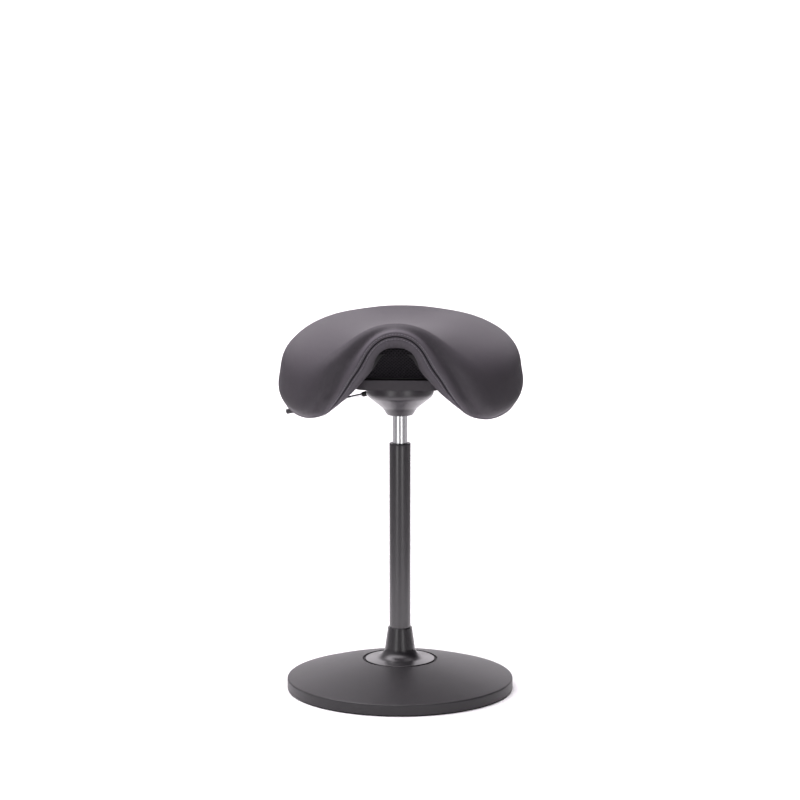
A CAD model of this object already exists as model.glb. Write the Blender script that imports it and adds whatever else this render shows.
"""Looks of the saddle stool, in metres, +Z up, front of the seat toward -Y."""

import math

import bpy
import numpy as np
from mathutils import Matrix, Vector


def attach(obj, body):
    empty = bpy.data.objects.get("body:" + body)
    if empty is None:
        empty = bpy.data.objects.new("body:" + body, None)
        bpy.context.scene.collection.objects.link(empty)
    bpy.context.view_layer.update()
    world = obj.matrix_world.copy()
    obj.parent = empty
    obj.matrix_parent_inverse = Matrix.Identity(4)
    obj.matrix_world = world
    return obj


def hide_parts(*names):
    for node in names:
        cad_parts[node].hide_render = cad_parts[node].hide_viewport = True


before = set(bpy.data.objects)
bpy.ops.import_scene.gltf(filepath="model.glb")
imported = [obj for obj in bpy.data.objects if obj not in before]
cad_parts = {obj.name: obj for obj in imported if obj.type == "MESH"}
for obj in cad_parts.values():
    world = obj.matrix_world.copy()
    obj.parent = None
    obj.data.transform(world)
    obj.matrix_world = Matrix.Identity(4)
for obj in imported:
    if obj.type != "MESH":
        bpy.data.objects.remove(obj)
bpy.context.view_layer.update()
bpy.context.scene.view_settings.view_transform = "Standard"

MM = 0.001

# Camera: turn in degrees, distances in metres, lens in millimetres
CAMERA_TURN = 2.75
CAMERA_AWAY = 5.5
CAMERA_HIGH = 1.443
AIM_HIGH = 0.55
LENS = 134.8

# Saddle, millimetres: sections in planes that fan out round a lengthwise axis.
# Each row: fan angle, lean of the plane, then along and out for the front seam,
# front shoulder, middle, rear shoulder and rear seam, band height and thickness.
FAN_Y = -140.0
FAN_Z = 600.0
SADDLE = np.array(
    [
        (0, 0, -163, 91.5, -136, 112.5, 0, 97.5, 125, 109.5, 172, 84, 21, 34),
        (22, 0, -162, 87, -135, 113.5, 0, 104, 125, 116.3, 171, 92, 18.5, 34),
        (44, 0, -160, 77, -134, 117, 4, 131, 123, 141, 168, 114, 20, 35),
        (66, 0, -156, 74, -133, 134, 10, 178, 118, 189, 161, 159, 21, 36),
        (84, 5, -150, 83, -128, 162, 12, 217, 112, 213.5, 152, 183, 21, 38),
        (100, 13, -143, 100, -121, 177, 10, 222.5, 104, 211.5, 140, 185, 21, 38),
        (111, 20, -130, 121, -109, 184, 5, 222.5, 88, 209.5, 118, 187, 19, 34),
        (120, 27, -112, 141, -92, 179, 0, 211, 60, 204, 82, 192, 10, 18),
    ],
    float,
)
BAND_LEAN = 3.0  # how far the band leans inward from seam to lower edge
FAN_END = SADDLE[-1, 0]
END_PACE = 3.3  # millimetres along the cover for each degree near the wing ends
FAN_ROWS = 175
SPAN_ROWS = 84

# Rows of the cover that run parallel to the seam, millimetres from it, rows of the band as
# shares of its height, and the row of each that carries stitches
RIM = np.array([0, 0.5, 1.0, 1.6, 2.3, 3.1, 4.0, 4.9, 6.2, 8.0, 10.5])
STITCH_ROW = 7
BAND_ROWS = np.array(
    [0, 0.025, 0.05, 0.08, 0.115, 0.155, 0.2, 0.25, 0.33, 0.43, 0.54, 0.65, 0.76, 0.86, 0.94, 1]
)
BAND_STITCH_ROW = 6

# Rounded corners of the wings: blur along the rim, fade inward, and the fan angles where they
# set in and are full
CORNER_EASE = 17.0
CORNER_FADE = 36.0
CORNER_FROM = 76.0
CORNER_FULL = 106.0
CORNER_POINTS = 4096

# Bell curves beside the seam, millimetres: height, distance from the seam, spread
SEAM_GROOVE = (-2.2, 0.0, 1.2)
SEAM_PUFF = (0.8, 2.7, 1.5)
STITCH_DENT = (-0.7, 4.8, 1.2)
HEM_PINCH = (0.8, 0.0, 1.6)
UNDER_FROM_SEAM = 30.0

# Hollow and roll of the cover beside the front seam, at the arch and on the wings
HOLLOW_AT = (19.0, 30.0)
HOLLOW_DEEP = (4.0, 12.0)
HOLLOW_MOVES = (15.0, 90.0)  # fan angles between which it moves out
HOLLOW_FULL = 50.0  # fan angle from which it is at its deepest
HOLLOW_END = 20.0  # degrees over which it fades out at the wing ends
ROLL_HIGH = 2.6
ROLL_AT = 9.0
ROLL_SPREAD = 5.0

# Band: bulge, the part of it behind the seat, gathers and upright joint at the front arch
BAND_BULGE = 1.3
REAR_NARROW = (4.5, 0.0, 12.0)  # narrower by this, at this fan angle, over this spread
GATHER_HIGH = 0.75
GATHER_REACH = 34.0
GATHER_PITCH = 8.6
GATHER_STRAY = 1.1
GATHER_STRAY_RUN = 9.0
GATHER_EASE = 0.7  # power of the sine that fades gathers and joint at seam and lower edge
JOINT_DENT = (-1.0, 0.0, 0.9)


def spline(knots, values, at):
    """Natural cubic spline: the second derivatives solve the tridiagonal system of the
    knots, and each span is the usual cubic of its end values and second derivatives."""
    n = len(knots)
    h = np.diff(knots)
    slope = np.diff(values, axis=0) / h[:, None]
    system = np.eye(n)
    inner = np.arange(1, n - 1)
    system[inner, inner - 1] = h[:-1]
    system[inner, inner] = 2 * (h[:-1] + h[1:])
    system[inner, inner + 1] = h[1:]
    load = np.zeros_like(values)
    load[1:-1] = 6 * np.diff(slope, axis=0)
    bend = np.linalg.solve(system, load)
    k = np.clip(np.searchsorted(knots, at) - 1, 0, n - 2)
    a = ((knots[k + 1] - at) / h[k])[..., None]
    b = 1 - a
    cubic = ((a**3 - a) * bend[k] + (b**3 - b) * bend[k + 1]) * h[k][..., None] ** 2 / 6
    return a * values[k] + b * values[k + 1] + cubic


def unit(v):
    """Vectors scaled to a length of one."""
    return v / np.maximum(np.linalg.norm(v, axis=-1, keepdims=True), 1e-12)


def swing(v, angle):
    """Flat vectors turned by an angle."""
    c, s = np.cos(angle), np.sin(angle)
    return np.stack([c * v[..., 0] - s * v[..., 1], s * v[..., 0] + c * v[..., 1]], -1)


def between(u, v):
    """Signed angle from flat vector u to flat vector v."""
    return np.arctan2(u[..., 0] * v[..., 1] - u[..., 1] * v[..., 0], (u * v).sum(-1))


def heading_at_start(a, b, c):
    """Heading at a of the circle through a, b, c: the chord a-b turned back by the angle at c."""
    return swing(b - a, -between(a - c, b - c))


def heading_at_end(a, b, c):
    """Heading at c of the circle through a, b, c: the chord b-c turned on by the angle at a."""
    return swing(c - b, between(b - a, c - a))


def arc(p, heading, q, share):
    """Point at a share of the arc that leaves p along a heading and ends in q. With k the
    angle from heading to chord, it lies sin(k share)/sin(k) chords off, in the heading turned by
    k share."""
    chord = q - p
    k = between(heading, chord)
    k = np.where(np.abs(k) < 1e-6, 1e-6, k)
    reach = np.linalg.norm(chord, axis=-1) * np.sin(k * share) / np.sin(k)
    return p + reach[..., None] * swing(unit(heading), k * share)


def arc_length(p, heading, q):
    """Length of that arc: chord times k over sin(k)."""
    k = between(heading, q - p)
    k = np.where(np.abs(k) < 1e-6, 1e-6, k)
    return np.linalg.norm(q - p, axis=-1) * k / np.sin(k)


def bell(d, height, at, spread):
    """Bell curve: height times exp(-((d - at)/spread)^2)."""
    return height * np.exp(-(((d - at) / spread) ** 2))


def section(psi):
    """Lean, the five corners of the cover, and the three of the underside at each fan angle,
    from the rows and their mirror images joined by the spline. The band behind is narrower at
    the middle by a bell curve of the fan angle, so that its lower edge runs straight."""
    knots = np.concatenate([-SADDLE[:0:-1, 0], SADDLE[:, 0]])
    rows = np.concatenate([SADDLE[:0:-1, 1:], SADDLE[:, 1:]])
    v = spline(knots, rows, psi)
    cover = v[..., 1:11].reshape(psi.shape + (5, 2)) - (FAN_Y, 0)
    band, thick = v[..., 11], v[..., 12]
    band_behind = band - bell(psi, *REAR_NARROW)
    drop = np.stack([band, thick, band_behind], -1)
    inward = np.array([BAND_LEAN, 0, -BAND_LEAN]) + 0 * drop
    under = cover[..., [0, 2, 4], :] + np.stack([inward, -drop], -1)
    return v[..., 0], cover, under


def in_space(psi, lean, flat):
    """Section coordinates to space: along runs back in the leaning plane, out runs from the
    fan axis."""
    a = np.radians(psi)
    t = np.radians(lean) * np.sign(psi)
    back = np.stack([-np.cos(a) * np.sin(t), np.cos(t), np.sin(a) * np.sin(t)], -1)
    out = np.stack([np.sin(a), 0 * a, np.cos(a)], -1)
    return np.array([0, FAN_Y, FAN_Z]) + flat[..., :1] * back + flat[..., 1:] * out


def laid_out(length, mid):
    """Distances along each section: the rim rows at both ends, even shares between them."""
    length = length[:, None]
    even = RIM[-1] + (length - 2 * RIM[-1]) * mid
    return np.concatenate([RIM + 0 * length, even, length - RIM[::-1]], 1)


def cover_grid(psi, mid):
    """Cover from front seam to rear seam over the fan: a three-point arc with a tangent arc
    at each end, by length along the section. Returns the points and each one's distance to the
    nearer seam."""
    lean, c, _ = section(psi)
    seam_f, top_f, top_m, top_r, seam_r = (c[:, None, i] for i in range(5))
    head_f = heading_at_start(top_f, top_m, top_r)
    head_r = heading_at_end(top_f, top_m, top_r)
    front = arc_length(top_f, -head_f, seam_f)
    crown = arc_length(top_f, head_f, top_r)
    rear = arc_length(top_r, head_r, seam_r)
    total = front + crown + rear
    far = laid_out(total[:, 0], mid)
    on_front = arc(top_f, -head_f, seam_f, 1 - far / front)
    on_crown = arc(top_f, head_f, top_r, (far - front) / crown)
    on_rear = arc(top_r, head_r, seam_r, (far - front - crown) / rear)
    flat = np.where((far < front)[..., None], on_front, on_crown)
    flat = np.where((far > front + crown)[..., None], on_rear, flat)
    return in_space(psi[:, None], lean[:, None], flat), np.minimum(far, total - far)


def under_grid(psi, mid):
    """Underside over the fan: one three-point arc in each section, by length along it."""
    lean, _, u = section(psi)
    front, middle, rear = (u[:, None, i] for i in range(3))
    head = heading_at_start(front, middle, rear)
    total = arc_length(front, head, rear)
    far = laid_out(total[:, 0], mid)
    return in_space(psi[:, None], lean[:, None], arc(front, head, rear, far / total))


def rim_of(grid, skip=0):
    """Rim of a grid as one closed row: front edge, right end, rear edge, left end."""
    g = grid[skip : grid.shape[0] - skip, skip : grid.shape[1] - skip]
    return np.concatenate([g[:, 0], g[-1, 1:], g[-2::-1, -1], g[0, -2:0:-1]])


def face_out(grid):
    """Outward directions of a grid: its fan direction crossed with its front-to-rear direction."""
    return unit(np.cross(np.gradient(grid, axis=0), np.gradient(grid, axis=1)))


def run_length(loop):
    """Length along a closed row up to each point, and the whole length."""
    step = np.linalg.norm(np.roll(loop, -1, axis=0) - loop, axis=1)
    return np.concatenate([[0], np.cumsum(step)[:-1]]), step.sum()


def at_length(loop, values, where):
    """Values of a closed row at given lengths along it."""
    along, whole = run_length(loop)
    along = np.append(along, whole)
    closed = np.concatenate([values, values[:1]])
    return np.stack([np.interp(where % whole, along, column) for column in closed.T], -1)


def eased(grid, seam_gap, psi):
    """Grid whose rim has its corners rounded: near the wing ends the rim is blurred along its
    length with a bell curve, and the shift dies away inward by a bell curve of the distance to
    each of the four edges."""
    rim = rim_of(grid)
    near_end = np.clip((np.abs(psi) - CORNER_FROM) / (CORNER_FULL - CORNER_FROM), 0, 1)
    near_end = near_end[:, None, None] + 0 * grid
    along, whole = run_length(rim)
    count = CORNER_POINTS
    even = at_length(rim, rim, np.arange(count) * whole / count)
    wave = np.fft.rfftfreq(count, whole / count)
    blur = np.exp(-2 * (np.pi * CORNER_EASE * wave) ** 2)
    soft = np.fft.irfft(np.fft.rfft(even, axis=0) * blur[:, None], count, axis=0)
    step = np.arange(count + 1) * whole / count
    soft = np.concatenate([soft, soft[:1]])
    shift = np.stack([np.interp(along, step, column) for column in soft.T], -1) - rim
    shift = shift * rim_of(near_end)
    nu, nv = grid.shape[:2]
    front, right = shift[:nu], shift[nu - 1 : nu + nv - 1]
    rear = shift[nu + nv - 2 : 2 * nu + nv - 2][::-1]
    left = np.concatenate([shift[:1], shift[2 * nu + nv - 3 :][::-1]])
    fade_v = bell(seam_gap, 1.0, 0.0, CORNER_FADE)
    half = nv // 2
    w_front = np.where(np.arange(nv) < half, fade_v, 0)[..., None]
    w_rear = np.where(np.arange(nv) >= half, fade_v, 0)[..., None]
    gap = np.linalg.norm(np.diff(grid, axis=0), axis=-1)
    from_left = np.concatenate([np.zeros((1, nv)), np.cumsum(gap, axis=0)])
    w_left = bell(from_left, 1.0, 0.0, CORNER_FADE)[..., None]
    w_right = bell(from_left[-1] - from_left, 1.0, 0.0, CORNER_FADE)[..., None]
    edges = w_front * front[:, None] + w_rear * rear[:, None] + w_left * left + w_right * right
    corners = w_front * (w_left * left[0] + w_right * right[0])
    corners = corners + w_rear * (w_left * left[-1] + w_right * right[-1])
    return grid + edges - corners


def seam_relief(d):
    """Height of the cover at a distance from the seam: a sharp groove at the seam, a puffed
    strip beside it, and a dent under the stitches that fades into the cover."""
    return bell(d, *SEAM_GROOVE) + bell(d, *SEAM_PUFF) + bell(d, *STITCH_DENT)


def arch_hollow(psi, seam_gap):
    """Hollow and roll of the cover beside the front seam, each a bell curve of the distance to
    it. Toward the wings the hollow moves out, by a smooth step of the fan angle, and gets deeper,
    and both fade out at the wing ends."""
    turned = np.abs(psi)[:, None]
    wing = np.clip((turned - HOLLOW_MOVES[0]) / (HOLLOW_MOVES[1] - HOLLOW_MOVES[0]), 0, 1)
    wing = wing * wing * (3 - 2 * wing)
    end = np.clip((FAN_END - turned) / HOLLOW_END, 0, 1)
    far = HOLLOW_AT[0] + (HOLLOW_AT[1] - HOLLOW_AT[0]) * wing
    deep = HOLLOW_DEEP[0] + (HOLLOW_DEEP[1] - HOLLOW_DEEP[0]) * np.clip(turned / HOLLOW_FULL, 0, 1)
    front = np.arange(seam_gap.shape[1]) < seam_gap.shape[1] // 2
    hollow = bell(seam_gap, -deep * end, far, 0.5 * far)
    roll = bell(seam_gap, ROLL_HIGH * end, ROLL_AT, ROLL_SPREAD)
    return np.where(front, hollow + roll, 0)


def quads(ids):
    """Faces of a grid of point numbers, first direction crossed with second facing out."""
    return np.stack([ids[:-1, :-1], ids[1:, :-1], ids[1:, 1:], ids[:-1, 1:]], -1).reshape(-1, 4)


def add_piece(name, points, faces, finish):
    """Mesh object at the origin, smooth, from points in millimetres."""
    mesh = bpy.data.meshes.new(name)
    mesh.from_pydata((np.asarray(points) * MM).tolist(), [], np.asarray(faces).tolist())
    mesh.polygons.foreach_set("use_smooth", np.ones(len(mesh.polygons), bool))
    mesh.materials.append(finish)
    mesh.update()
    obj = bpy.data.objects.new(name, mesh)
    bpy.context.scene.collection.objects.link(obj)
    return obj


def mark(obj, name, values):
    """A number on every point of a piece, for its finish to read."""
    marks = obj.data.attributes.new(name, "FLOAT", "POINT")
    marks.data.foreach_set("value", np.asarray(values, np.float32))


def fan_angles():
    """Fan angles of the cover's rows: close together at the wing ends, even between them."""
    rim = FAN_END - RIM / END_PACE
    return np.concatenate([-rim, np.linspace(-rim[-1], rim[-1], FAN_ROWS)[1:-1], rim[::-1]])


def build_saddle(finish):
    """Closed cushion of cover, band and underside. The band runs straight from seam to lower
    edge over t from 0 to 1, bulged by 4t(1-t), pinched at the lower edge, with gathers (a fading
    cosine of the length) and an upright joint at the front arch, both times a power of
    sin(pi t)."""
    psi = fan_angles()
    mid = np.linspace(0, 1, SPAN_ROWS)[1:-1]
    cover, seam_gap = cover_grid(psi, mid)
    under = under_grid(psi, mid)
    cover = eased(cover, seam_gap, psi)
    under = eased(under, seam_gap, psi)
    step = np.linalg.norm(np.diff(cover, axis=0), axis=-1)
    from_left = np.concatenate([np.zeros((1, cover.shape[1])), np.cumsum(step, axis=0)])
    depth = np.minimum(seam_gap, np.minimum(from_left, from_left[-1] - from_left))
    cover = cover + arch_hollow(psi, seam_gap)[..., None] * face_out(cover)
    cover_out = face_out(cover)
    seam, hem = rim_of(cover), rim_of(under)
    ahead = unit(np.roll(seam, -1, axis=0) - np.roll(seam, 1, axis=0))
    band_out = unit(np.cross(hem - seam, ahead))
    height = np.linalg.norm(hem - seam, axis=1)
    along, whole = run_length(seam)
    middle = along[len(psi) // 2]
    q = along - middle
    q = np.where(q > whole / 2, q - whole, q)
    stray = GATHER_STRAY * np.sin(q / GATHER_STRAY_RUN)
    gather = bell(q, 1.0, 0.0, GATHER_REACH) * np.cos(2 * np.pi * q / GATHER_PITCH + stray)
    t = BAND_ROWS[:, None]
    down = t * height
    rise = BAND_BULGE * 4 * t * (1 - t) + seam_relief(down)
    fade = np.sin(np.pi * t) ** GATHER_EASE
    rise = rise + fade * (GATHER_HIGH * gather + bell(q, *JOINT_DENT))
    rise = rise - bell((1 - t) * height, *HEM_PINCH)
    band = seam + (hem - seam) * t[..., None] + rise[..., None] * band_out
    seam_out = unit(rim_of(cover_out) + band_out)
    cover = cover + seam_relief(depth)[..., None] * cover_out
    rim = seam + seam_relief(0.0) * seam_out
    nu, nv = cover.shape[:2]
    ids = np.arange(nu * nv).reshape(nu, nv)
    edge = rim_of(ids[..., None])[:, 0]
    points = np.concatenate([cover.reshape(-1, 3), under.reshape(-1, 3), band[1:-1].reshape(-1, 3)])
    points[edge] = rim
    points[nu * nv + edge] = band[-1]
    loops = 2 * nu * nv + np.arange(len(edge) * (len(BAND_ROWS) - 2)).reshape(-1, len(edge))
    loops = np.concatenate([edge[None], loops, nu * nv + edge[None]])
    loops = np.concatenate([loops, loops[:, :1]], 1)
    faces = np.concatenate([quads(ids), quads(nu * nv + ids)[:, ::-1], quads(loops)])
    obj = add_piece("saddle_cushion", points, faces, finish)
    from_under = np.full(nu * nv, UNDER_FROM_SEAM)
    mark(obj, "seam", np.concatenate([depth.ravel(), from_under, down[1:-1].ravel()]))
    cover[np.unravel_index(edge, (nu, nv))] = rim
    lines = [
        (rim_of(cover, STITCH_ROW), rim_of(cover_out, STITCH_ROW)),
        (band[BAND_STITCH_ROW], band_out),
    ]
    return obj, lines


# Stitches beside the seam, millimetres
STITCH_PITCH = 5.4
STITCH_HALF = 2.1
STITCH_RISE = 0.5
STITCH_SUNK = 0.2
THREAD_R = 0.62
THREAD_THIN = 0.75  # share of its cross-section lost at the ends
THREAD_SIDES = 6
THREAD_RINGS = 6


def build_stitches(lines, finish):
    """Lock stitches along closed rows: each a thread that rises out of the cover and dives
    back, its height a rise times 1 - u^4 less what is sunk, over u from -1 to 1, as a tube of six
    sides."""
    sides = THREAD_SIDES
    u = np.linspace(-1, 1, THREAD_RINGS)
    turn = np.arange(sides) * 2 * np.pi / sides
    points, faces, used = [], [], 0
    for row, out in lines:
        whole = run_length(row)[1]
        count = int(whole / STITCH_PITCH)
        centre = (np.arange(count) + 0.5) * whole / count
        where = centre[:, None] + u * STITCH_HALF
        spot = at_length(row, row, where.ravel()).reshape(count, len(u), 3)
        lift = unit(at_length(row, out, where.ravel())).reshape(count, len(u), 3)
        ahead = unit(np.gradient(spot, axis=1))
        side = unit(np.cross(ahead, lift))
        height = STITCH_RISE * (1 - u**4) - STITCH_SUNK
        radius = THREAD_R * np.sqrt(1 - THREAD_THIN * u**4)
        ring = np.cos(turn)[:, None] * side[..., None, :]
        ring = ring + np.sin(turn)[:, None] * lift[..., None, :]
        tube = (spot + height[:, None] * lift)[..., None, :] + radius[:, None, None] * ring
        ids = used + np.arange(count * len(u) * sides).reshape(count, len(u), sides)
        nxt = np.roll(ids, -1, axis=2)
        wall = np.stack([ids[:, :-1], nxt[:, :-1], nxt[:, 1:], ids[:, 1:]], -1).reshape(-1, 4)
        caps = [ids[:, 0, ::-1][:, [0, 1, 2, 3]], ids[:, 0, ::-1][:, [0, 3, 4, 5]]]
        caps += [ids[:, -1][:, [0, 1, 2, 3]], ids[:, -1][:, [0, 3, 4, 5]]]
        points.append(tube.reshape(-1, 3))
        faces += [wall] + caps
        used += ids.size
    return add_piece("saddle_stitching", np.concatenate(points), np.concatenate(faces), finish)


# Lining under the hollow of the saddle: stations (y, z) along the sling, back from the front
# arch, and the rise of its free spans at other stations
SLING = np.array(
    [
        (-159.8, 669.8),
        (-156, 664.5),
        (-147, 655.5),
        (-132, 643.5),
        (-112, 628.0),
        (-76, 604.0),
        (-70, 602.6),
        (70, 602.6),
        (76, 604.0),
        (100, 614.5),
        (130, 631.0),
        (154, 647.5),
        (166.5, 661.5),
    ]
)
SLING_ROWS = 131
SLING_COLUMNS = 121
SLING_ROUND = 9  # rows in the moving mean that rounds the bends
SLING_GAP = 0.6  # to the cushion at each side
LIFT_Y = [-150, -110, -76, 76, 110, 150]
LIFT = [0.5, 2.5, 0, 0, 2.5, 0.5]
LINING_T = 1.6
REAR_MARGIN = 2.0
WIDTH_ANGLES = 237  # fan angles tried for its width
NOWHERE = -1e9  # height of a point that doesn't count


def under_width(y, z):
    """Half width of the hollow at given stations: along the underside of each fan angle the
    point at y is found by correcting its share, then the angle whose point has height z. An
    angle whose rear edge lies short of y, or too near it, doesn't count."""
    psi = np.linspace(0, FAN_END - 2, WIDTH_ANGLES)
    lean, _, u = section(psi)
    front, middle, rear = (u[:, None, i] for i in range(3))
    head = heading_at_start(front, middle, rear)
    along = (y - FAN_Y) / np.cos(np.radians(lean))[:, None]
    span = rear[..., 0] - front[..., 0]
    share = np.clip((along - front[..., 0]) / span, 0, 1)
    for _ in range(6):
        share = np.clip(share + (along - arc(front, head, rear, share)[..., 0]) / span, 0, 1)
    skin = in_space(psi[:, None], lean[:, None], arc(front, head, rear, share))
    height = np.where(along > rear[..., 0] - REAR_MARGIN, NOWHERE, skin[..., 2])
    below = np.argmax(height < z, axis=0)
    k = np.arange(len(y))
    z0, z1 = height[below - 1, k], height[below, k]
    x0, x1 = skin[below - 1, k, 0], skin[below, k, 0]
    return x0 + (x1 - x0) * (z0 - z) / (z0 - z1)


def build_lining(finish):
    """Mesh sling: across, from wing to wing over s from -1 to 1; along, over the stations
    smoothed by a moving mean; each free span rises by its lift times 1 - s^2. Returns the piece
    with its flat width, length and area in metres."""
    run = np.linspace(0, 1, SLING_ROWS)
    far = np.concatenate([[0], np.cumsum(np.hypot(*np.diff(SLING, axis=0).T))])
    y = np.interp(run * far[-1], far, SLING[:, 0])
    z = np.interp(run * far[-1], far, SLING[:, 1])
    kernel = np.hanning(SLING_ROUND)[1:-1] / np.hanning(SLING_ROUND).sum()
    z = np.convolve(np.pad(z, len(kernel) // 2, "edge"), kernel, "valid")
    half = under_width(y, z) - SLING_GAP
    s = np.linspace(-1, 1, SLING_COLUMNS)
    x = half[:, None] * s
    lift = np.interp(y, LIFT_Y, LIFT)[:, None] * (1 - s**2)
    grid = np.stack([x, y[:, None] + 0 * x, z[:, None] + lift], -1)
    ids = np.arange(grid.shape[0] * grid.shape[1]).reshape(grid.shape[:2])
    obj = add_piece("saddle_lining", grid.reshape(-1, 3), quads(ids.T), finish)
    weave = obj.data.uv_layers.new(name="weave")
    flat = np.stack([x, (run * far[-1])[:, None] + 0 * x], -1).reshape(-1, 2) * MM
    corner = np.zeros(len(obj.data.loops), np.int32)
    obj.data.loops.foreach_get("vertex_index", corner)
    weave.data.foreach_set("uv", flat[corner].ravel().astype(np.float32))
    step_y = np.hypot(np.gradient(y), np.gradient(z))
    area = (2 * half * step_y).sum() * MM * MM
    return obj, 2 * half.max() * MM, far[-1] * MM, area


# Boot round the lever where it leaves the bell: profile of distance along the lever and radius
LEVER_TURN = math.radians(-11.0)
LEVER_DROP = math.radians(14.6)
LEVER_PIVOT = (-24.0, 570.4)
BOOT_AT = 42.0
BOOT_SIDES = 32
BOOT_PROFILE = np.array(
    [
        (0, 3.05),
        (0, 4.6),
        (0.6, 5.2),
        (2.2, 5.3),
        (3.0, 4.7),
        (4.2, 4.6),
        (5.0, 5.0),
        (6.6, 4.9),
        (8.2, 4.2),
        (9.0, 3.05),
    ]
)


def build_boot(finish):
    """Rubber boot: the profile turned round the lever's own axis."""
    a = np.arange(BOOT_SIDES) * 2 * np.pi / BOOT_SIDES
    far = BOOT_AT + BOOT_PROFILE[:, :1]
    r = BOOT_PROFILE[:, 1:]
    axis = np.array([-math.cos(LEVER_DROP), 0, -math.sin(LEVER_DROP)])
    up = np.array([-math.sin(LEVER_DROP), 0, math.cos(LEVER_DROP)])
    ring = np.cos(a)[:, None] * up + np.sin(a)[:, None] * np.array([0, 1, 0])
    spot = np.array([LEVER_PIVOT[0], 0, LEVER_PIVOT[1]]) + far * axis
    points = spot[:, None] + r[..., None] * ring
    c, s = math.cos(LEVER_TURN), math.sin(LEVER_TURN)
    points = points @ np.array([[c, s, 0], [-s, c, 0], [0, 0, 1]])
    ids = np.arange(points.shape[0] * BOOT_SIDES).reshape(-1, BOOT_SIDES)
    ids = np.concatenate([ids, ids[:1]])
    ids = np.concatenate([ids, ids[:, :1]], 1)
    return add_piece("lever_boot", points.reshape(-1, 3), quads(ids), finish)


class Value:
    """A socket of a finish. Operators on it add Math nodes to the finish's tree."""

    def __init__(self, nodes, socket):
        self.nodes = nodes
        self.socket = socket

    def math(self, operation, a, b=0.0):
        """A Math node on two numbers."""
        return self.nodes.node("ShaderNodeMath", {"operation": operation}, {0: a, 1: b})

    def __add__(self, other):
        return self.math("ADD", self, other)

    def __sub__(self, other):
        return self.math("SUBTRACT", self, other)

    def __rsub__(self, other):
        return self.math("SUBTRACT", other, self)

    def __mul__(self, other):
        return self.math("MULTIPLY", self, other)

    __radd__ = __add__


class Nodes:
    """A node tree. One method adds any node: its settings first, then its sockets."""

    def __init__(self, tree):
        self.tree = tree
        tree.nodes.clear()

    def node(self, kind, settings=(), sockets=(), out=0):
        made = self.tree.nodes.new(kind)
        for key, value in dict(settings).items():
            setattr(made, key, value)
        for key, value in dict(sockets).items():
            if isinstance(value, Value):
                self.tree.links.new(value.socket, made.inputs[key])
            else:
                made.inputs[key].default_value = value
        return Value(self, made.outputs[out]) if made.outputs else None

    def spot(self):
        """Place on the piece, in metres."""
        return self.node("ShaderNodeTexCoord", out="Object")

    def noise(self, scale, detail=2.0, spot=None, out=0):
        """Noise of a scale per metre, as a number, or as a colour with out=1."""
        sockets = {"Vector": spot or self.spot(), "Scale": scale, "Detail": detail}
        return self.node("ShaderNodeTexNoise", (), sockets, out)

    def parts(self, vector):
        """The three numbers of a vector."""
        split = self.node("ShaderNodeSeparateXYZ", (), {0: vector})
        return [Value(self, number) for number in split.socket.node.outputs]

    def stretched(self, scale):
        """Place on the piece with each axis scaled."""
        return self.node("ShaderNodeMapping", (), {"Vector": self.spot(), "Scale": scale})

    def smooth(self, value, low, high, to_low=0.0, to_high=1.0):
        """Smooth step from one number to another between two values."""
        sockets = {0: value, 1: low, 2: high, 3: to_low, 4: to_high}
        return self.node("ShaderNodeMapRange", {"interpolation_type": "SMOOTHSTEP"}, sockets)

    def mix(self, share, a, b):
        """Colour between a and b."""
        paint = [(*c, 1.0) if isinstance(c, tuple) else c for c in (a, b)]
        sockets = {0: share, 6: paint[0], 7: paint[1]}
        return self.node("ShaderNodeMix", {"data_type": "RGBA"}, sockets, 2)

    def bump(self, height, depth, strength=1.0):
        """Relief of a depth in metres."""
        sockets = {"Height": height, "Distance": depth, "Strength": strength}
        return self.node("ShaderNodeBump", (), sockets)


def new_finish(name):
    """An empty finish and its node tree."""
    material = bpy.data.materials.new(name)
    material.use_nodes = True
    return material, Nodes(material.node_tree)


def dress(nodes, sockets):
    """Surface shader of a finish."""
    shader = nodes.node("ShaderNodeBsdfPrincipled", (), sockets)
    nodes.node("ShaderNodeOutputMaterial", (), {"Surface": shader})


def leatherette():
    """Fine-pebbled charcoal upholstery: cells of about 1.2 mm with creases between them, cloudy
    tone, a dark line at the seam and a paler, stretched strip beside it."""
    material, n = new_finish("charcoal_leatherette")
    stray = n.noise(420.0, 2.0, out=1)
    sway = n.node("ShaderNodeVectorMath", {"operation": "SCALE"}, {0: stray, "Scale": 0.0011})
    warped = n.node("ShaderNodeVectorMath", {"operation": "ADD"}, {0: n.spot(), 1: sway})
    edge = {"feature": "DISTANCE_TO_EDGE"}
    cells = n.node("ShaderNodeTexVoronoi", edge, {"Vector": warped, "Scale": 820.0})
    pebble = n.smooth(cells, 0.0, 0.32)
    cloud = n.noise(16.0, 3.0)
    from_seam = n.node("ShaderNodeAttribute", {"attribute_name": "seam"}, out="Fac")
    seam = n.smooth(from_seam, 0.3, 2.0)
    strip = n.smooth(from_seam, 9.0, 20.0, 1.0, 0.0)
    tone = n.mix(cloud, (0.070, 0.063, 0.072), (0.084, 0.076, 0.086))
    tone = n.mix(pebble * 0.8 + 0.2, (0.050, 0.045, 0.053), tone)
    tone = n.mix(strip * 0.85, tone, (0.118, 0.108, 0.124))
    tone = n.mix(seam, (0.026, 0.024, 0.028), tone)
    height = pebble * 0.8 + n.noise(2600.0, 2.0) * 0.2
    dress(
        n,
        {
            "Base Color": tone,
            "Roughness": 0.56 - pebble * 0.07 - seam * 0.03 + cloud * 0.05,
            "Specular IOR Level": 0.26,
            "Normal": n.bump(height, 0.00012, 0.75),
        },
    )
    return material


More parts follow.
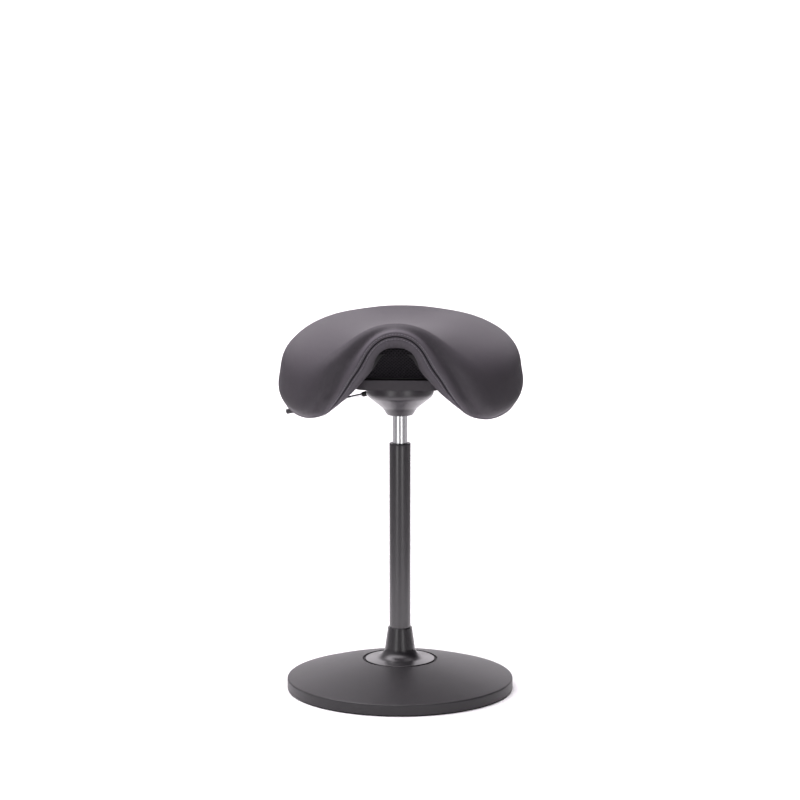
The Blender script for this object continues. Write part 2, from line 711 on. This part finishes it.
def thread():
    """Twisted sewing thread: a slanted wave across the strand."""
    material, n = new_finish("grey_thread")
    wave = {"Vector": n.spot(), "Scale": 900.0, "Distortion": 2.0}
    twist = n.node("ShaderNodeTexWave", (), wave, 1)
    tone = n.mix(twist, (0.160, 0.148, 0.166), (0.300, 0.280, 0.310))
    height = n.bump(twist, 0.0001, 0.6)
    dress(n, {"Base Color": tone, "Roughness": 0.6 + twist * 0.15, "Normal": height})
    return material


def spacer_mesh():
    """Knitted spacer mesh: two sets of slanting ribs of 6.6 mm pitch round open diamond cells,
    with finer loops on the ribs."""
    material, n = new_finish("spacer_mesh")
    u, v, _ = n.parts(n.node("ShaderNodeUVMap", {"uv_map": "weave"}))
    pitch = 2 * math.pi / 0.0066

    def ribs(slant):
        across = (u + v * slant) * pitch
        return across.math("SINE", across) * 0.5 + 0.5

    cell = n.smooth(ribs(0.55) * ribs(-0.55), 0.2, 0.62)
    loops = n.noise(1900.0, 2.0)
    rib = (1 - cell) * (loops * 0.5 + 0.75)
    tone = n.mix(rib, (0.0004, 0.0003, 0.0005), (0.009, 0.008, 0.0102))
    dress(
        n,
        {
            "Base Color": tone,
            "Roughness": 0.86 - rib * 0.12,
            "Specular IOR Level": 0.06,
            "Normal": n.bump(rib, 0.0009, 0.9),
        },
    )
    return material


def powder_coat(name, dark, light, rough, grit):
    """Powder coat: a fine grit in the height, with speckle and cloudy tone."""
    material, n = new_finish(name)
    fine = n.noise(1500.0, 3.0)
    cloud = n.noise(11.0, 3.0)
    speck = n.smooth(fine, 0.35, 0.7)
    tone = n.mix(speck * 0.6 + cloud * 0.4, dark, light)
    dress(
        n,
        {
            "Base Color": tone,
            "Roughness": rough + fine * 0.12 - 0.06,
            "Specular IOR Level": 0.5,
            "Normal": n.bump(fine, grit, 0.8),
        },
    )
    return material


def satin_paint():
    """Satin column paint: gentle orange peel of about 4 mm and a fine haze."""
    material, n = new_finish("satin_black_paint")
    peel = n.noise(260.0, 1.0)
    haze = n.noise(30.0, 4.0)
    tone = n.mix(haze, (0.018, 0.0162, 0.0188), (0.025, 0.0225, 0.026))
    dress(
        n,
        {
            "Base Color": tone,
            "Roughness": 0.25 + haze * 0.08,
            "Specular IOR Level": 1.0,
            "Normal": n.bump(peel, 0.00012, 0.35),
        },
    )
    return material


def moulded(name, dark, light, rough, grain, depth, coat=0.0, coat_rough=0.3):
    """Moulded plastic: a fine sparked grain, with slow changes of tone and gloss."""
    material, n = new_finish(name)
    spark = n.noise(grain, 2.0)
    flow = n.noise(22.0, 3.0)
    tone = n.mix(flow, dark, light)
    dress(
        n,
        {
            "Base Color": tone,
            "Roughness": rough + flow * 0.06 + spark * 0.05,
            "Coat Weight": coat,
            "Coat Roughness": coat_rough,
            "Normal": n.bump(spark, depth, 0.5),
        },
    )
    return material


def bright_metal(name, dark, light, rough, lines):
    """Turned or drawn metal: fine lines round the upright axis in tone, gloss and height."""
    material, n = new_finish(name)
    drawn = n.noise(1.0, 3.0, n.stretched(lines))
    smear = n.noise(24.0, 3.0)
    dress(
        n,
        {
            "Base Color": n.mix(drawn * 0.6 + smear * 0.4, dark, light),
            "Metallic": 1.0,
            "Roughness": rough + smear * 0.06 + drawn * 0.05,
            "Normal": n.bump(drawn, 0.00002, 0.3),
        },
    )
    return material


def rubber():
    """Dull rubber: fine pits, with paler bloom in patches."""
    material, n = new_finish("dull_rubber")
    pits = n.noise(1300.0, 3.0)
    bloom = n.noise(30.0, 4.0)
    tone = n.mix(bloom, (0.012, 0.012, 0.013), (0.024, 0.023, 0.024))
    height = n.bump(pits, 0.0001, 0.6)
    dress(n, {"Base Color": tone, "Roughness": 0.7 + bloom * 0.15, "Normal": height})
    return material


def rough_cast():
    """Cast iron: coarse skin with rust-free grey patches."""
    material, n = new_finish("cast_iron_skin")
    skin = n.noise(420.0, 4.0)
    patch = n.noise(35.0, 4.0)
    tone = n.mix(patch, (0.05, 0.05, 0.052), (0.11, 0.108, 0.105))
    dress(
        n,
        {
            "Base Color": tone,
            "Metallic": 0.6,
            "Roughness": 0.55 + patch * 0.2,
            "Normal": n.bump(skin, 0.0004, 0.8),
        },
    )
    return material


def plain_floor(name, dark):
    """Plain floor with the faintest cloudiness."""
    material, n = new_finish(name)
    tone = n.mix(n.noise(0.8, 2.0), (dark,) * 3, (dark + 0.02,) * 3)
    dress(n, {"Base Color": tone, "Roughness": 0.8, "Specular IOR Level": 0.0})
    return material


leather = leatherette()
mesh_cloth = spacer_mesh()
dull_rubber = rubber()
chrome = bright_metal(
    "bright_chrome", (0.80, 0.81, 0.82), (0.90, 0.91, 0.92), 0.19, (60.0, 60.0, 2200.0)
)
steel = bright_metal(
    "drawn_steel", (0.40, 0.40, 0.41), (0.56, 0.56, 0.57), 0.24, (500.0, 500.0, 1500.0)
)
alloy = bright_metal(
    "cast_alloy_skin", (0.46, 0.46, 0.47), (0.60, 0.60, 0.61), 0.36, (700.0, 700.0, 700.0)
)
base_coat = powder_coat(
    "base_powder_coat", (0.009, 0.008, 0.0095), (0.018, 0.016, 0.019), 0.45, 0.00022
)
plate_coat = powder_coat(
    "plate_powder_coat", (0.016, 0.016, 0.017), (0.034, 0.033, 0.035), 0.5, 0.0002
)
column_paint = satin_paint()

GLOSSY_GRAIN = (1500.0, 0.00004)  # grains per metre and depth in metres
MATTE_GRAIN = (1800.0, 0.00008)
glossy = moulded(
    "glossy_bell_plastic",
    (0.036, 0.032, 0.038),
    (0.046, 0.041, 0.048),
    0.32,
    *GLOSSY_GRAIN,
    coat=0.7,
    coat_rough=0.34,
)
collar_gloss = moulded(
    "glossy_collar_plastic",
    (0.012, 0.0108, 0.0126),
    (0.017, 0.0153, 0.0178),
    0.30,
    *GLOSSY_GRAIN,
    coat=0.4,
    coat_rough=0.28,
)
matte = moulded(
    "matte_black_plastic", (0.030, 0.027, 0.031), (0.042, 0.038, 0.044), 0.38, *MATTE_GRAIN
)
tray_plastic = moulded(
    "satin_tray_plastic", (0.060, 0.054, 0.062), (0.076, 0.069, 0.078), 0.38, *MATTE_GRAIN
)
dark_shell = moulded(
    "dark_shell_plastic", (0.003, 0.0027, 0.0033), (0.006, 0.0054, 0.0066), 0.6, *MATTE_GRAIN
)
cast = rough_cast()

WORN = {
    "base_cover": base_coat,
    "ballast_plate": cast,
    "floor_ring": dull_rubber,
    "column_socket": alloy,
    "socket_bolts": steel,
    "column_collar": collar_gloss,
    "collar_seal": dull_rubber,
    "column_tube": column_paint,
    "column_disc": steel,
    "guide_bush": matte,
    "race_lower": steel,
    "piston_rod": steel,
    "race_upper": steel,
    "end_buffer": dull_rubber,
    "rod_clip": steel,
    "ball_cage": matte,
    "bearing_balls": chrome,
    "gas_cylinder": chrome,
    "cylinder_gland": matte,
    "tilt_hub": alloy,
    "bell_cover": glossy,
    "bump_ring": dull_rubber,
    "roll_pins": steel,
    "lever_pin": steel,
    "lever_rod": chrome,
    "lever_grip": matte,
    "valve_pin": steel,
    "gimbal_ring": alloy,
    "gimbal_bushes": dull_rubber,
    "pitch_pins": steel,
    "seat_plate": plate_coat,
    "seat_tray": tray_plastic,
    "seat_bolts": steel,
    "seat_shell": dark_shell,
    "seat_cushion": leather,
    "seat_lining": mesh_cloth,
}
for node, finish in WORN.items():
    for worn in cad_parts[node].material_slots:
        worn.material = finish

cushion, stitch_lines = build_saddle(leather)
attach(cushion, "seat")
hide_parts("seat_cushion")

stitches = build_stitches(stitch_lines, thread())
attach(stitches, "seat")

lining, lining_wide, lining_long, lining_area = build_lining(mesh_cloth)
thickness = lining.modifiers.new("thickness", "SOLIDIFY")
thickness.thickness = LINING_T * MM
thickness.offset = 0.0
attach(lining, "seat")
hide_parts("seat_lining")

boot = build_boot(dull_rubber)
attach(boot, "lever")

# Studio: pale floor with unseen grey floor round it, bright above and behind, dim in front
floor_corners = [(-700, -820, 0), (780, -820, 0), (7000, 60000, 0), (-12500, 60000, 0)]
add_piece("floor", floor_corners, [(0, 1, 2, 3)], plain_floor("pale_floor", 0.94))
near_corners = [(-2600, -3600, 0), (2600, -3600, 0), (2600, -820, 0), (-2600, -820, 0)]
left_corners = [(-6000, -820, 0), (-700, -820, 0), (-1441, 3000, 0), (-6000, 3000, 0)]
right_corners = [(780, -820, 0), (6000, -820, 0), (6000, 3000, 0), (1171, 3000, 0)]
around = near_corners + left_corners + right_corners
near_faces = np.arange(len(around)).reshape(-1, 4)
near_floor = add_piece("near_floor", around, near_faces, plain_floor("grey_floor", 0.26))
near_floor.visible_camera = False

ABOVE_GLOW = 5.6
BEHIND_GLOW = 2.4
LEFT_GLOW = 0.5
DIM_GLOW = 0.04
STUDIO_TINT = (1.0, 0.95, 1.0, 1.0)
world = bpy.data.worlds.new("studio")
bpy.context.scene.world = world
world.use_nodes = True
sky = Nodes(world.node_tree)
aim_x, aim_y, aim_z = sky.parts(sky.node("ShaderNodeTexCoord", out="Generated"))
above = sky.smooth(aim_z * 0.98 - aim_x * 0.2, 0.72, 0.95)
behind = sky.smooth(aim_y, 0.72, 0.95)
behind = behind * sky.smooth(aim_z, 0.4, 0.65, 1.0, 0.0) * sky.smooth(aim_z, 0.0, 0.3)
leftward = sky.smooth(aim_x * -1.0, 0.35, 0.8)
leftward = leftward * sky.smooth(aim_z, -0.05, 0.2) * sky.smooth(aim_z, 0.45, 0.8, 1.0, 0.0)
glow = above * ABOVE_GLOW + behind * BEHIND_GLOW + leftward * LEFT_GLOW + DIM_GLOW
lit = sky.node("ShaderNodeBackground", (), {"Strength": glow, "Color": STUDIO_TINT})
seen = sky.node("ShaderNodeBackground", (), {"Strength": 1.0, "Color": (1.0, 1.0, 1.0, 1.0)})
eye = sky.node("ShaderNodeLightPath", out="Is Camera Ray")
shown = sky.node("ShaderNodeMixShader", (), {0: eye, 1: lit, 2: seen})
sky.node("ShaderNodeOutputWorld", (), {"Surface": shown})


def facing(place, aim_at):
    """Turn of a light or a camera at one place that looks at another."""
    return (Vector(aim_at) - Vector(place)).to_track_quat("-Z", "Y").to_euler()


def add_softbox(name, place, aim_at, size, power):
    """Square light of a size in metres, turned to face a place."""
    data = bpy.data.lights.new(name, "AREA")
    data.shape = "SQUARE"
    data.size = size
    data.energy = power
    box = bpy.data.objects.new(name, data)
    box.location = place
    box.rotation_euler = facing(place, aim_at)
    bpy.context.scene.collection.objects.link(box)


add_softbox("left_softbox", (-1.18, -2.3, 0.32), (0, 0, 0.3), 0.6, 5.2)
add_softbox("right_softbox", (1.18, -2.3, 0.32), (0, 0, 0.3), 0.6, 4.8)

lens = bpy.data.cameras.new("camera")
lens.lens = LENS
lens.sensor_width = 36.0
camera = bpy.data.objects.new("camera", lens)
turn = math.radians(CAMERA_TURN)
camera.location = (CAMERA_AWAY * math.sin(turn), -CAMERA_AWAY * math.cos(turn), CAMERA_HIGH)
camera.rotation_euler = facing(camera.location, (0, 0, AIM_HIGH))
bpy.context.scene.collection.objects.link(camera)
bpy.context.scene.camera = camera
